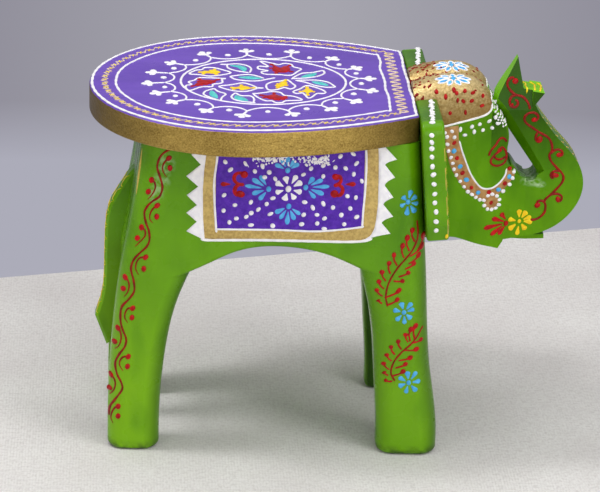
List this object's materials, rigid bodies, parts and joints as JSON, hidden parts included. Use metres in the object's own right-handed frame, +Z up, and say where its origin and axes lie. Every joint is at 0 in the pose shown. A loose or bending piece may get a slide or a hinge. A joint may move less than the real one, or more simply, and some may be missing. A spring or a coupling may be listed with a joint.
{
  "type": "carved elephant stool",
  "caption": "Low wooden stool carved as a standing elephant: the flat seat is its back, four sawn legs, ear boards, raised trunk and hanging tail.",
  "frame": {"origin": "on the floor under the middle of the overall box", "axes": "+X along the body towards the elephant's head, +Y towards the elephant's left side, +Z up"},
  "size_m": [0.3479, 0.2138, 0.274],
  "materials": {
    "green_enamel": "glossy green enamel paint over carved wood",
    "seat_enamel": "purple enamel on top, metallic gold paint on the rim",
    "bare_wood": "unpainted hardwood, glued in",
    "steel_wire": "plain drawn wire"
  },
  "bodies": {
    "root": {"seat_board": "seat_enamel", "body_core": "green_enamel", "left_flank": "green_enamel", "right_flank": "green_enamel", "head_and_trunk": "green_enamel", "left_ear": "green_enamel", "right_ear": "green_enamel", "tail": "green_enamel", "flank_dowels": "bare_wood", "seat_dowels": "bare_wood", "head_dowels": "bare_wood", "ear_dowels": "bare_wood", "tail_pins": "steel_wire"}
  },
  "joints": []
}
